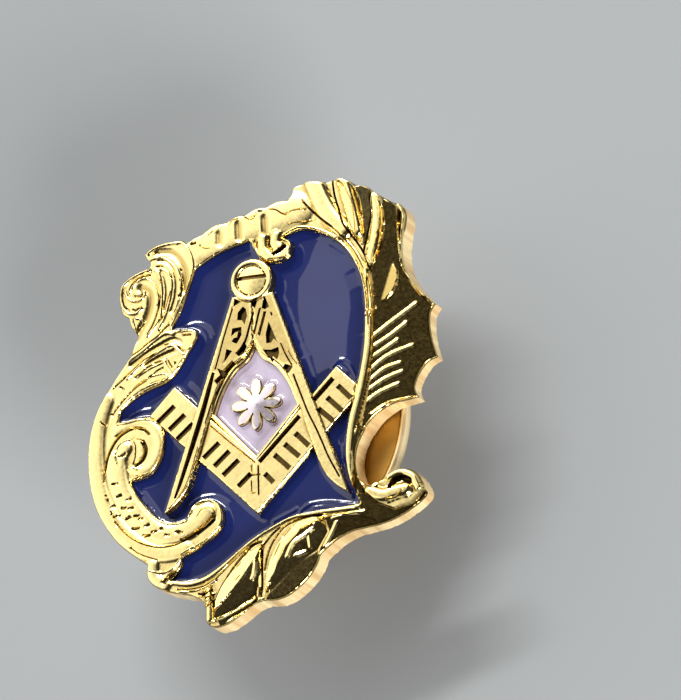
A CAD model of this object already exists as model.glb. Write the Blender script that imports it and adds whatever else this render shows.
import math
import bmesh
import bpy
import numpy as np
from mathutils import Matrix, Vector
from mathutils.geometry import delaunay_2d_cdt
from mathutils.kdtree import KDTree


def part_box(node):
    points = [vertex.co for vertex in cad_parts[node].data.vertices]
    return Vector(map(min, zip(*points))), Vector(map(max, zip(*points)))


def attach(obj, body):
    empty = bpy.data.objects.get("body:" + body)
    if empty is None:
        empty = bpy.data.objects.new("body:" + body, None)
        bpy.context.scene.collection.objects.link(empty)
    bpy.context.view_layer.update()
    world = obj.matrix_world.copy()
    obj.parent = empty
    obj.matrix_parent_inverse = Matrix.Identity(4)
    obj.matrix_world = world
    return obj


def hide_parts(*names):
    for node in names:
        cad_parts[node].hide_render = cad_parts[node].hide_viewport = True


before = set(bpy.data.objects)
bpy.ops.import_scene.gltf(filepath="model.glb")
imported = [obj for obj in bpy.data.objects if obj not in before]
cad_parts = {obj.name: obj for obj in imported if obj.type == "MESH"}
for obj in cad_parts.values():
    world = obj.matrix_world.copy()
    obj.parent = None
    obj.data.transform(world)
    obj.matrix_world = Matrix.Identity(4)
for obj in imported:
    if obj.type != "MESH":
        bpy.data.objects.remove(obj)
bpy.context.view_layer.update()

# Frame of the badge. One brass blank, struck cold between steel dies, so that leaves and scrolls
# stand up from its face, then cut out and gold plated. Its tables are drawn in millimetres, as
# seen from the front, on a badge 14.4 mm wide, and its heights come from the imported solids.
MM = 0.001
drawn_width = 14.4
plate_low, plate_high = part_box("body")
cell_low, cell_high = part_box("enamel_upper_left")
clutch_low, clutch_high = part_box("clutch")
drawn_scale = (plate_high.x - plate_low.x) / MM / drawn_width
piece_gap = 0.02
enamel_below = 0.12
seat_gap = 0.1
floor_z = cell_low.z / MM - piece_gap
face_z = cell_high.z / MM + enamel_below
back_z = clutch_high.z / MM + seat_gap
wall = 0.024
loop_step = 0.06
line_step = 0.1


def smooth_line(spots, spacing):
    """Places on the smooth curve through some spots."""
    spots = [np.array(spot, float) for spot in spots]
    line = []
    for i, (b, c) in enumerate(zip(spots, spots[1:])):
        a, d = spots[max(i - 1, 0)], spots[min(i + 2, len(spots) - 1)]
        steps = max(1, round(math.dist(b, c) / spacing))
        for t in np.arange(steps) / steps:
            line.append(0.5 * (2 * b + (c - a) * t + (2 * a - 5 * b + 4 * c - d) * t ** 2
                               + (3 * b - a - 3 * c + d) * t ** 3))
    return np.array(line + spots[-1:])


def smooth_loop(runs):
    """Places on a closed outline, from the smooth runs that lead from one corner to the next."""
    following = runs[1:] + runs[:1]
    return np.vstack([smooth_line(run + after[:1], loop_step)[:-1] for run, after in zip(runs, following)])


def sides(loop):
    """The two ends of each side of a closed outline."""
    return zip(loop, np.roll(loop, -1, 0))


def straight_loop(corners):
    """Places along the straight sides of a closed shape."""
    line = []
    for a, b in sides(np.array(corners, float)):
        steps = max(1, round(math.dist(a, b) / line_step))
        line += [a + (b - a) * s / steps for s in range(steps)]
    return np.array(line)


def parallel(loop, distance):
    """A closed outline moved outwards by a distance, or inwards by a negative one."""
    ahead = np.roll(loop, -1, 0) - loop
    turns = np.sum(loop[:, 0] * ahead[:, 1] - loop[:, 1] * ahead[:, 0])
    n1 = np.stack([ahead[:, 1], -ahead[:, 0]], 1) / np.linalg.norm(ahead, axis=1)[:, None]
    n2 = np.roll(n1, 1, 0)
    mitre = np.maximum(1 + np.sum(n1 * n2, 1), 0.5)
    return loop + math.copysign(distance, turns * distance) * (n1 + n2) / mitre[:, None]


def nearest_on(points, line, reach):
    """Distance of each point from a line, and no more than reach."""
    far = np.full(len(points), float(reach))
    stretch = 12
    for first in range(0, len(line) - 1, stretch):
        part = line[first:first + stretch + 1]
        near = np.flatnonzero(((points > part.min(0) - reach) & (points < part.max(0) + reach)).all(1))
        for start, end in zip(part, part[1:]):
            run = end - start
            t = np.clip((points[near] - start) @ run / max(run @ run, 1e-12), 0, 1)
            gap = np.linalg.norm(points[near] - start - t[:, None] * run, axis=1)
            far[near] = np.minimum(far[near], gap)
    return far


def nearest_round(points, loop, reach):
    """Distance of each point from a closed outline, and no more than reach."""
    return nearest_on(points, np.vstack([loop, loop[:1]]), reach)


def inside(points, loop):
    """True for each point that a closed outline goes round."""
    within = np.zeros(len(points), bool)
    near = np.flatnonzero(((points >= loop.min(0)) & (points <= loop.max(0))).all(1))
    x, y = points[near, 0], points[near, 1]
    odd = np.zeros(len(near), bool)
    for a, b in sides(loop):
        spans = (a[1] > y) != (b[1] > y)
        odd[spans] ^= x[spans] < a[0] + (y[spans] - a[1]) * (b[0] - a[0]) / (b[1] - a[1])
    within[near] = odd
    return within


def depth_in(points, loop, reach):
    """How far each point is inside a closed outline, up to reach. Outside it is negative."""
    far = nearest_round(points, loop, reach)
    return np.where(inside(points, loop), far, -far)


def flat_top(depth, height, edge=0.035):
    """Height of a flat topped form from the depth inside its outline: a steep wall and a rounded edge."""
    in_round = np.clip(edge + wall / 2 - depth, 0, edge)
    drop = edge - np.sqrt(edge ** 2 - in_round ** 2)
    return np.clip(0.5 + depth / wall, 0, 1) * (height - drop)


# Edge of the plate, clockwise from the tip of the leaf at the top left, in smooth runs that each
# start at a corner.
OUTLINE = [
    [(-4.7, 7.05), (-4.4, 7.28), (-3.8, 7.42), (-3.2, 7.46)], [(-2.92, 7.27), (-2.6, 7.44)],
    [(-2.25, 7.55), (-1.75, 7.85)], [(-1.2, 7.9), (-.8, 8.1)], [(-.42, 8.1), (.02, 8.31)],
    [(.45, 8.3), (.9, 8.47)], [(1.35, 8.46), (1.52, 8.72), (1.6, 8.95), (1.88, 9.05), (2.4, 9.07)],
    [(2.95, 8.98), (3.35, 9.05), (3.75, 8.98)], [(4.2, 8.7), (4.6, 8.6)], [(4.92, 8.32), (5.3, 8.05)],
    [(5.75, 7.75), (6, 7.67), (6.21, 7.3), (6.18, 6.85), (6.07, 6.3), (6.05, 5.65), (6.14, 5.15),
        (6.38, 4.6), (6.8, 4.02)], [(7.22, 3.58), (7.02, 3.3), (6.97, 2.8), (7.03, 2.2)],
    [(7.2, 1.5), (6.85, 1.35), (6.55, 1), (6.36, .62), (6.29, .3)],
    [(6.43, -.03), (6, -.1), (5.5, -.2), (5.08, -.4), (4.72, -.66), (4.42, -1), (4.12, -1.45),
        (3.94, -1.95), (3.9, -2.45), (4.05, -3.02)],
    [(4.4, -3.38), (4.95, -3.2), (5.35, -2.98), (5.85, -2.87), (6.28, -3), (6.58, -3.42), (6.68, -3.85),
        (6.4, -4.15), (6.05, -4.38), (5.62, -4.62), (5, -4.84), (4.3, -4.95), (3.7, -5.05), (3.1, -5.3)],
    [(2.66, -5.6), (2.4, -5.82), (2.22, -6.2), (1.9, -6.65), (1.45, -7.05), (1, -7.33), (.5, -7.44)],
    [(.02, -7.4), (-.45, -7.55), (-1, -7.92), (-1.5, -8.17), (-1.95, -8.24), (-2.28, -8.05),
        (-2.36, -7.72), (-2.36, -7.42)],
    [(-2.5, -7.1), (-2.93, -6.88), (-3.5, -6.74), (-4.05, -6.56), (-4.55, -6.25), (-4.77, -5.85)],
    [(-4.7, -5.47), (-5.33, -5.02), (-6, -4.42), (-6.5, -3.7), (-6.88, -2.95), (-7.1, -2.1),
        (-7.18, -1.25), (-7.14, -.45), (-6.98, .35), (-6.7, 1.05), (-6.33, 1.65), (-5.8, 2.4)],
    [(-5.35, 2.93), (-5.2, 3.35)], [(-5.02, 3.78), (-5.28, 4.15)],
    [(-5.4, 4.55), (-5.63, 4.72), (-5.78, 5.15), (-5.77, 5.62), (-5.62, 5.98), (-5.3, 6.2), (-4.9, 6.36)],
    [(-4.53, 6.47), (-4.46, 6.65), (-4.6, 6.85)]
]
# Inner edge of the frame round the enamel, clockwise from its top left corner, in such runs.
FIELD = [
    [(-2.55, 6.17), (-1.95, 6.51), (-1.25, 6.8)],
    [(-.3, 7.03), (-.15, 6.72), (.03, 6.36), (.28, 6.08), (.62, 5.98), (1.05, 6), (1.38, 6.18),
        (1.53, 6.5), (1.43, 6.8)],
    [(1.1, 6.97), (1.45, 7.12), (1.85, 7.2), (2.35, 7.1), (3, 6.77), (3.55, 6.33), (3.95, 5.77),
        (4.27, 5.03), (4.41, 4.2), (4.43, 3.3), (4.36, 2.4), (4.18, 1.45), (3.95, .5), (3.7, -.5),
        (3.57, -1.4), (3.55, -2.2), (3.66, -2.95), (3.86, -3.52)],
    [(4.06, -3.98), (3.5, -4.05), (2.5, -4.09), (1.4, -4.18), (.53, -4.5), (-.4, -4.94), (-1.2, -5.5),
        (-2, -6), (-2.87, -6.27)], [(-3.77, -6.17), (-3.5, -5.92), (-3.3, -5.62)],
    [(-3.3, -5.35), (-2.8, -5.12), (-2.3, -4.85), (-1.82, -4.52), (-1.55, -4.1), (-1.55, -3.68),
        (-1.78, -3.3), (-2.2, -3.1), (-2.62, -3.2), (-2.9, -3.5)],
    [(-3.05, -3.8), (-3.6, -3.88), (-4.05, -3.78), (-4.45, -3.47), (-4.9, -2.92), (-5.2, -2.45)],
    [(-5.38, -2.08), (-4.85, -1.99), (-4.5, -1.85), (-4.15, -1.4), (-3.98, -.9), (-3.95, -.3),
        (-4.15, .15), (-4.55, .44), (-4.97, .48), (-5.45, .4)],
    [(-5.88, .4), (-5.75, .78), (-5.45, 1.07), (-4.97, 1.36), (-4.45, 1.57), (-3.85, 1.75), (-3.4, 2.1),
        (-2.97, 2.73)], [(-2.52, 3.38), (-2.55, 3.65), (-2.8, 3.8), (-3.2, 3.82)],
    [(-3.58, 3.88), (-3.2, 4.53), (-2.93, 5.2)]
]
# Broad forms of the relief. Each row: half width, rise, and the places that its middle runs through.
SWELLS = [
    (.4, .04, [(-6.45, 1.3), (-6.72, .5), (-6.84, -.4), (-6.8, -1.6), (-6.6, -2.6), (-6.15, -3.6),
        (-5.5, -4.35), (-4.7, -4.93), (-3.9, -5.1), (-3.2, -5.02)]),
    (.45, .05, [(-5.95, -1.2), (-5.85, -2.1), (-5.5, -2.9), (-4.95, -3.65), (-4.2, -4.3), (-3.4, -4.35),
        (-2.75, -4.1), (-2.3, -3.7)]),
    (.3, .05, [(-5.85, -1.4), (-5.75, -.95), (-5.6, -.7)]),
    (.24, .06, [(-5.95, .02), (-5.5, .2), (-5, .24), (-4.55, .1), (-4.22, -.35), (-4.2, -.9),
        (-4.5, -1.5), (-4.95, -1.72), (-5.25, -1.6)]),
    (.26, .06, [(-4.5, -5.5), (-4.45, -6), (-4, -6.35)]),
    (.8, .05, [(-2.5, 6.95), (-1.8, 7.15), (-1, 7.45), (0, 7.7), (.8, 7.85), (1.6, 8)]),
    (.24, .14, [(.3, 7.1), (.32, 6.6), (.62, 6.25), (1.05, 6.2), (1.35, 6.45)]),
    (.25, .12, [(.85, 7.1), (.8, 6.8), (.95, 6.6)]),
    (.42, .16, [(2.4, 9.2), (2.75, 8.3), (3.1, 7.6), (3.6, 6.95)]),
    (.28, .2, [(3.65, 9.1), (3.85, 8.4), (4.05, 7.6), (4.2, 6.8)]),
    (.28, .24, [(5, 8.1), (5.1, 7.4), (5.02, 6.6), (4.82, 5.7), (4.8, 5.4)]),
    (.3, .16, [(4.5, -3.65), (5, -3.85), (5.5, -3.75), (5.9, -3.7)]),
    (.16, .14, [(5.3, -3.15), (5.75, -3), (6.2, -3.2), (6.45, -3.7)]),
    (.24, .12, [(3.2, -4.62), (4, -4.62), (4.8, -4.6)]),
    (.16, .12, [(-2.2, -6.8), (-2.15, -7.4), (-2.15, -7.9)]),
    (.2, .12, [(4.62, 3.4), (4.56, 2.2), (4.38, 1.2), (4.14, .2), (3.9, -.6), (3.74, -1.4), (3.68, -2.2),
        (3.74, -3), (3.94, -3.5)])
]
# Planes of the leaves that turn away from the light. Each row: height at the first corner, rise
# for each millimetre to the right and upwards, share of dust, and the corners.
FACETS = [
    (.38, -.235, .065, .4, [(4.86, 5.15), (5.25, 5.9), (5.45, 6.8), (5.35, 7.7), (5.75, 7.75),
        (5.95, 7.5), (5.93, 6.2), (6, 5.3), (6.25, 4.6), (6.72, 3.9), (7.6, 3.5), (7.6, 1.3), (6.7, 0),
        (6.4, -.4), (5.2, -.6), (4.4, -1.2), (4.2, -1), (4.5, .2), (4.78, 1.8), (4.86, 3.4)]),
    (.2, .02, -.02, 0, [(5.72, 5.26), (5.9, 4.95), (5.88, 4.6), (5.68, 4.15), (5.36, 3.82), (5.18, 3.82),
        (5.28, 4.15), (5.42, 4.5), (5.55, 4.95)]),
    (.16, -.26, .04, .1, [(4.15, 8.65), (4.9, 8.6), (4.8, 7.4), (4.55, 6.2), (4.4, 6.3), (4.45, 7.3)]),
    (.17, .05, -.05, 0, [(.12, -5.18), (-.59, -5.5), (-1.07, -6), (-1.54, -6.56), (-1.9, -7.13),
        (-1.9, -7.61), (-1.16, -6.94), (-.59, -6.37), (-.21, -5.7)]),
    (.2, .05, -.05, 0, [(.17, -7.09), (.22, -6.47), (.36, -5.9), (.65, -5.32), (1.03, -4.85),
        (1.5, -4.51), (2.17, -4.35), (2.6, -4.42), (1.7, -4.8), (1.22, -5.3), (.84, -5.9), (.55, -6.56)]),
    (.24, -.3, .25, 0, [(.08, -5.2), (-.02, -5.8), (-.12, -6.6), (-.2, -7.35), (-.9, -7.8), (-1.7, -8.15),
        (-1.95, -7.95), (-1.88, -7.62), (-1.2, -6.95), (-.65, -6.38), (-.25, -5.75)]),
    (.15, -.22, .2, 0, [(2.5, -4.5), (2.75, -5), (2.3, -5.7), (1.4, -6.2), (.75, -6.85), (.25, -7.25),
        (.42, -6.7), (.68, -6.05), (1.08, -5.4), (1.65, -4.85)]),
    (-.05, -.14, .1, .25, [(2.45, -5.75), (2.8, -5.8), (2.3, -6.7), (1.5, -7.4), (.8, -7.65), (.1, -7.65),
        (.2, -7.25), (.75, -6.8), (1.4, -6.15), (2.35, -5.65)]),
    (.14, -.14, .14, .4, [(2.6, -4.42), (3.4, -4.4), (4.1, -4.42), (4.9, -4.62), (5.4, -4.6), (5.4, -5.1),
        (4.3, -5.2), (3.6, -5.35), (3, -5.65), (2.75, -5.85), (2.3, -6), (2.38, -5.6), (2.78, -5)]),
    (.1, -.13, .13, .3, [(4.25, -.9), (3.98, -1.6), (3.88, -2.3), (3.98, -3.05), (4.3, -3.62),
        (4.3, -3.9), (3.84, -3.9), (3.82, -3.2), (3.8, -2.2), (3.9, -1.3), (4.1, -.8)]),
    (.1, -.13, .13, .4, [(3.84, -3.6), (4.3, -3.62), (4.85, -4.12), (5.4, -4.36), (6.1, -4.2),
        (6.55, -3.8), (7.2, -3.7), (6.4, -4.9), (5.2, -5.2), (4.6, -4.7), (4, -4.48), (3.86, -4.2)])
]
# Raised lines. Each row: half width, rise, and the places that the line runs through.
LIPS = [
    (.08, .06, [(-4.42, 6.82), (-4, 6.87), (-3.6, 6.6), (-3.3, 6.2), (-3.17, 5.7), (-3.2, 5.2),
        (-3.32, 4.75), (-3.5, 4.35)]),
    (.08, .053, [(-4.55, 7.08), (-4.2, 7.28), (-3.7, 7.36), (-3.15, 7.36)]),
    (.07, .053, [(-3.05, 7.3), (-2.78, 6.9), (-2.64, 6.3), (-2.9, 5.55), (-3.15, 4.95), (-3.45, 4.3),
        (-3.64, 3.95)]),
    (.07, .053, [(-4, 6.42), (-3.72, 6.2), (-3.57, 5.8), (-3.6, 5.35), (-3.73, 4.8), (-3.92, 4.3),
        (-4.15, 3.95)]),
    (.07, .053, [(-4.25, 6.35), (-4.1, 6.2), (-4.02, 5.85), (-3.98, 5.4), (-4, 4.9), (-4.08, 4.4),
        (-4.35, 4), (-4.62, 3.72)]),
    (.08, .068, [(-4.5, 6.38), (-4.9, 6.32), (-5.3, 6.12), (-5.62, 5.85), (-5.69, 5.4), (-5.6, 4.98),
        (-5.35, 4.72), (-5.08, 4.7), (-4.86, 4.85)]),
    (.06, .06, [(-5.33, 5.6), (-5.12, 5.9), (-4.78, 6.07), (-4.46, 5.97), (-4.25, 5.7), (-4.14, 5.3),
        (-4.17, 4.95)]),
    (.065, .068, [(-5.52, 5.6), (-5.35, 5.3), (-5.05, 5.18), (-4.78, 5.28), (-4.7, 5.5)]),
    (.05, .045, [(-5.25, 4.5), (-5.15, 4.15), (-5.05, 3.85)]),
    (.05, .045, [(-5.2, 4.5), (-4.92, 4.45), (-4.76, 4.32), (-4.88, 4.1)]),
    (.1, .045, [(-5.42, 2.82), (-4.9, 3.1), (-4.3, 3.5), (-3.85, 3.75), (-3.55, 3.68)]),
    (.07, .053, [(-5.5, 2.1), (-4.95, 2.55), (-4.3, 2.93), (-3.62, 3.22), (-3.32, 3), (-3.1, 2.78)]),
    (.06, .038, [(-5, 2.15), (-4.45, 2.42), (-4.05, 2.55), (-3.9, 2.64)]),
    (.05, .038, [(-5.2, 1.7), (-4.7, 1.98), (-4.25, 2.1), (-3.9, 2.1), (-3.75, 2)]),
    (.07, .045, [(-3.92, 2.62), (-3.8, 2.35), (-3.65, 2.12)]),
    (.05, .045, [(-5.84, .8), (-5.5, 1.2), (-5, 1.53), (-4.4, 1.75), (-3.85, 1.87), (-3.45, 2.22),
        (-3.05, 2.78), (-2.6, 3.38), (-2.62, 3.62), (-2.85, 3.73), (-3.2, 3.72), (-3.5, 3.74)]),
    (.06, .06, [(-5.9, .28), (-5.4, .3), (-4.97, .37), (-4.5, .3), (-4.12, .03), (-3.98, -.4),
        (-4.03, -.95), (-4.25, -1.5), (-4.6, -1.82), (-5, -1.92), (-5.3, -1.98)]),
    (.05, .045, [(-5.95, -1.25), (-6.03, -.95), (-5.85, -.52), (-5.42, -.36), (-5.2, -.62), (-5.2, -1.1),
        (-5.3, -1.45), (-5.1, -1.62)]),
    (.06, .06, [(-5.36, -2.2), (-5.12, -2.72), (-4.7, -3.32), (-4.2, -3.78), (-3.6, -3.97),
        (-3.08, -3.92)]),
    (.07, .068, [(-2.98, -3.72), (-2.72, -3.32), (-2.2, -3.18), (-1.82, -3.35), (-1.64, -3.7),
        (-1.64, -4.1), (-1.88, -4.42), (-2.35, -4.78), (-2.9, -5.02), (-3.3, -5.2)]),
    (.06, .053, [(-3.3, -5.35), (-3.7, -5.75), (-4.2, -5.85), (-4.62, -5.7)]),
    (.13, .07, [(-3.66, -6.3), (-3, -6.42), (-2.3, -6.3), (-1.6, -5.9), (-.9, -5.37), (-.2, -4.92),
        (.5, -4.55), (1.2, -4.28), (2.1, -4.19), (3.1, -4.18), (4, -4.17)]),
    (.05, .045, [(-3.4, -6.68), (-2.8, -6.72), (-2.3, -6.6), (-1.9, -6.4)]),
    (.06, .12, [(-2.5, -6.95), (-2.3, -6.72), (-2.1, -6.6)]),
    (.06, .12, [(-2.32, -7.2), (-2.15, -7), (-1.98, -6.9)]),
    (.06, .08, [(-2, -8), (-1.5, -7.85), (-.9, -7.55), (-.35, -7.22)]),
    (.07, .05, [(1.15, 7.08), (1.75, 7.3), (2.4, 7.2), (3.05, 6.88), (3.65, 6.33), (4.08, 5.66),
        (4.36, 4.9), (4.5, 4), (4.5, 3.4)]),
    (.1, .06, [(3.1, 7.1), (3.75, 6.5), (4.22, 5.85), (4.52, 5.1), (4.68, 4), (4.7, 3.4)]),
    (.05, .08, [(3.92, -2.4), (4.05, -3.02), (4.38, -3.42), (4.8, -3.3)]),
    (.08, .12, [(5.92, 7.66), (6.12, 7.2), (6.05, 6.6), (6, 5.8), (6.08, 5.2), (6.35, 4.62), (6.78, 4.02),
        (7.12, 3.58)]),
    (.05, .06, [(4.6, -.56), (5.2, -.2), (5.9, -.04), (6.35, -.02)]),
    (.05, .06, [(3.4, 9), (3.62, 8.2), (3.85, 7.4), (4.1, 6.75), (4.38, 6.3)]),
    (.05, .06, [(3.95, 8.85), (4.3, 8.2), (4.42, 7.4), (4.42, 6.7)]),
    (.05, .06, [(4.88, 8.05), (4.86, 7.2), (4.66, 6.3), (4.62, 5.7), (4.8, 5.35)]),
    (.06, .08, [(5.2, 8.05), (5.4, 7.4), (5.36, 6.8), (5.18, 6.1), (4.95, 5.5)]),
    (.07, .1, [(-.12, 7.02), (0, 6.68), (.2, 6.33), (.55, 6.07), (1.02, 6.05), (1.33, 6.22), (1.46, 6.5),
        (1.38, 6.76), (1.16, 6.9)])
]
# Keeled rays of the dark leaf, and the veins of the leaves at the foot
VEINS = [
    [(4.85, 2.45), (5.6, 3), (6.5, 3.63)], [(4.85, 2.05), (5.5, 2.45), (6.1, 2.9)],
    [(4.8, 1.65), (5.3, 1.95), (5.75, 2.25)], [(4.7, 1.15), (5.2, 1.55), (5.7, 1.8), (6.3, 2)],
    [(4.75, .8), (5.2, 1.15), (5.8, 1.35)], [(4.65, .4), (5.2, .75), (5.85, 1)],
    [(4.55, -.05), (5, .25), (5.7, .53)], [(-.18, -5.85), (-.25, -6.2), (-.38, -6.55)],
    [(-.14, -6.9), (-.18, -7.2), (-.02, -7.35)], [(1.13, -5.85), (1.4, -5.36), (1.8, -5.1), (2.2, -4.84)],
    [(2.02, -5.08), (2.04, -5.55)], [(1.45, -5.82), (1.85, -5.7)],
    [(3.12, -4.68), (2.88, -5.12), (2.62, -5.52)], [(3, -4.5), (3.6, -4.38), (4.2, -4.36)]
]
vein_half = 0.1
vein_rise = 0.045
RAYS = [(vein_half, vein_rise, vein) for vein in VEINS]
# Lines cut into the face. Each row: half width, depth, and the places that the line runs through.
CUTS = [
    (.03, .05, [(-4.38, 7.04), (-4.2, 7.05), (-4, 7.03)]),
    (.2, .04, [(-4.1, 7.06), (-3.5, 6.95), (-3.1, 6.5), (-2.95, 5.95), (-3.02, 5.4)]),
    (.08, .03, [(-4.1, 6.72), (-3.75, 6.62), (-3.5, 6.3), (-3.37, 5.8), (-3.41, 5.2), (-3.6, 4.6)]),
    (.04, .065, [(-3.28, 4.98), (-3.36, 4.75), (-3.5, 4.5)]),
    (.07, .03, [(-4, 6.3), (-3.86, 6), (-3.79, 5.6), (-3.8, 5.2), (-3.9, 4.7)]),
    (.04, .065, [(-3.62, 5.4), (-3.72, 5.1), (-3.87, 4.62)]),
    (.05, .065, [(-4.18, 6.52), (-3.98, 6.5)]),
    (.045, .091, [(-4.07, 5.12), (-4.14, 4.8), (-4.3, 4.35), (-4.48, 4), (-4.6, 3.82)]),
    (.055, .091, [(-5.36, 5.68), (-5.2, 5.95), (-5, 6.1), (-4.75, 6.19), (-4.5, 6.2)]),
    (.2, .04, [(-4.85, 5.7), (-4.5, 5.5), (-4.45, 5), (-4.6, 4.5), (-4.85, 4.1), (-5.05, 3.7)]),
    (.05, .06, [(-4.9, 5.65), (-4.78, 5.48), (-4.92, 5.35), (-5.12, 5.42)]),
    (.05, .052, [(-5.5, 4.96), (-5.38, 4.87)]),
    (.05, .065, [(-5.22, 4.88), (-5.05, 4.82), (-4.88, 4.92)]),
    (.04, .052, [(-4.72, 4.28), (-4.88, 4.08), (-5.05, 3.85)]),
    (.05, .065, [(-5.3, 3), (-5, 3.15), (-4.6, 3.42), (-4.2, 3.64), (-3.95, 3.9), (-3.7, 4.08)]),
    (.12, .04, [(-5.3, 2.62), (-4.7, 3), (-4.2, 3.22), (-3.6, 3.45), (-3.2, 3.32)]),
    (.04, .052, [(-3.9, 3.27), (-3.76, 3.3)]),
    (.05, .065, [(-6.07, 1.8), (-5.5, 2.22), (-4.9, 2.68), (-4.6, 2.84), (-4.25, 2.98)]),
    (.12, .04, [(-4.7, 2.55), (-4.1, 2.8), (-3.5, 2.98)]),
    (.05, .058, [(-5.74, 1.77), (-5.64, 1.7)]),
    (.05, .058, [(-5.15, 2.12), (-4.8, 2.32)]),
    (.05, .052, [(-4.7, 2.42), (-4.45, 2.52)]),
    (.04, .07, [(-4.35, 2.6), (-4.08, 2.64)]),
    (.05, .065, [(-6.12, .72), (-5.9, 1), (-5.4, 1.5), (-5, 1.78), (-4.72, 1.92)]),
    (.05, .052, [(-4.55, 2.05), (-4.25, 2.25), (-3.98, 2.36)]),
    (.03, .05, [(-4.6, 1.75), (-4.2, 1.86), (-3.9, 1.9)]),
    (.04, .065, [(-3.78, 2.66), (-3.6, 2.33)]),
    (.05, .065, [(-3.3, 3.1), (-3.1, 2.97)]),
    (.05, .1, [(-3.08, 3.58), (-2.82, 3.56)]),
    (.05, .065, [(-6.57, .43), (-6.43, .33)]),
    (.045, .052, [(-6.51, -1.95), (-6.46, -1.5)]),
    (.07, .098, [(-6.46, -1.5), (-6.32, -.95), (-6.1, -.5), (-5.8, -.18), (-5.4, .02), (-5.05, .04),
        (-4.78, -.05), (-4.6, -.22)]),
    (.045, .065, [(-6.05, -3.6), (-5.6, -4.12), (-5.1, -4.5), (-4.6, -4.72), (-4.1, -4.83), (-3.55, -4.8),
        (-3.1, -4.65)]),
    (.09, .16, [(-3.2, -4.66), (-2.85, -4.5), (-2.5, -4.3), (-2.15, -4.02), (-1.95, -3.85)]),
    (.12, .18, [(-2.6, -4.4), (-2.2, -4.15), (-1.98, -3.98)]),
    (.03, .06, [(-5.42, -4.7), (-5, -5.02), (-4.3, -5.32)]),
    (.1, .13, [(-5.12, -1.42), (-4.85, -1.2), (-4.74, -.85), (-4.85, -.55)]),
    (.03, .052, [(-5.18, -.36), (-4.95, -.42), (-4.82, -.6)]),
    (.07, .065, [(-5.8, -1.02), (-5.6, -.95)]),
    (.03, .05, [(-2.62, -3.75), (-2.42, -3.52), (-2.1, -3.48), (-1.9, -3.6)]),
    (.12, .13, [(-4, -6.2), (-3.82, -6.02), (-3.62, -5.92)]),
    (.04, .052, [(-3.5, -6.57), (-2.7, -6.6), (-2, -6.38), (-1.3, -5.82), (-.7, -5.35), (-.15, -5.08)]),
    (.05, .12, [(-2.6, -6.85), (-2.3, -6.9), (-2.05, -6.75)]),
    (.05, .1, [(-2.25, -7.4), (-2.05, -7.25), (-1.85, -7.1)]),
    (.05, .12, [(.12, -5.2), (.45, -4.85), (.75, -4.62)]),
    (.025, .05, [(-.42, -5.4), (-.62, -5.6)]),
    (.025, .05, [(-.8, -5.85), (-1.05, -6.08)]),
    (.025, .05, [(-.85, -6.35), (-1, -6.5)]),
    (.025, .05, [(1.35, -4.65), (1, -5)]),
    (.025, .05, [(.8, -5.3), (.6, -5.7)]),
    (.05, .12, [(.05, -5.4), (.02, -6.1), (.02, -6.8), (-.05, -7.2)]),
    (.06, .12, [(-.02, -5.08), (-.4, -5.22), (-.95, -5.75), (-1.42, -6.35), (-1.74, -6.85),
        (-1.98, -7.4)]),
    (.05, .1, [(2.5, -4.3), (1.8, -4.32), (1.05, -4.55), (.62, -4.95), (.3, -5.5), (.12, -6.2)]),
    (.04, .08, [(5.2, -4), (5.55, -3.97), (5.8, -3.76)]),
    (.12, .24, [(5.32, -3.5), (5.5, -3.3), (5.85, -3.24), (6.1, -3.36)]),
    (.05, .12, [(2, 8.32), (2.3, 7.95), (2.75, 7.5), (3.2, 7.1)]),
    (.03, .07, [(3.2, 7.1), (3.7, 6.55), (4.12, 5.95), (4.42, 5.3)]),
    (.03, .08, [(4.55, 4.9), (4.6, 4), (4.6, 3)]),
    (.045, .12, [(3.22, 9), (3.3, 8.4), (3.48, 7.75), (3.66, 7.2), (3.96, 6.7), (4.28, 6.22), (4.5, 5.8),
        (4.75, 5.2)]),
    (.02, .03, [(3.75, 8.7), (4.05, 8), (4.16, 7.2), (4.16, 6.7)]),
    (.06, .06, [(3.55, 8.88), (3.72, 8.7)]),
    (.05, .12, [(4.75, 8.15), (4.8, 7.6), (4.7, 7), (4.55, 6.4), (4.45, 6)]),
    (.02, .03, [(5.2, 7.8), (5.24, 7), (5, 6.2), (4.85, 5.7)]),
    (.06, .08, [(-2.68, 7.22), (-2.55, 7.24)]),
    (.03, .04, [(-2.3, 7.08), (-2.15, 6.97), (-1.95, 6.95)]),
    (.03, .05, [(-1.98, 7.5), (-1.8, 7.62)]),
    (.03, .06, [(-1.12, 7.78), (-.98, 7.93), (-.75, 8)]),
    (.035, .06, [(-.5, 8.08), (-.28, 7.9), (-.1, 7.92), (.02, 8.08)]),
    (.04, .05, [(.15, 8.17), (.26, 8.17)]),
    (.035, .07, [(.6, 8.2), (.85, 8.14), (1.1, 7.96), (1.3, 7.88), (1.48, 8), (1.75, 8.03), (2.1, 7.99)]),
    (.03, .06, [(1.4, 7.48), (1.6, 7.52), (2, 7.5), (2.5, 7.5)]),
    (.2, .035, [(.4, 7.85), (.42, 7.3)]),
    (.2, .035, [(-.7, 7.75), (-.68, 7.2)]),
    (.2, .03, [(-1.5, 7.45), (-1.5, 7.1)]),
    (.1, .24, [(.78, 6.36), (1, 6.43), (1.2, 6.58)]),
    (.04, .08, [(.55, 6.14), (.95, 6.12), (1.3, 6.16)]),
    (.04, .05, [(.62, 7), (.52, 6.7), (.62, 6.45)])
]
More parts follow.
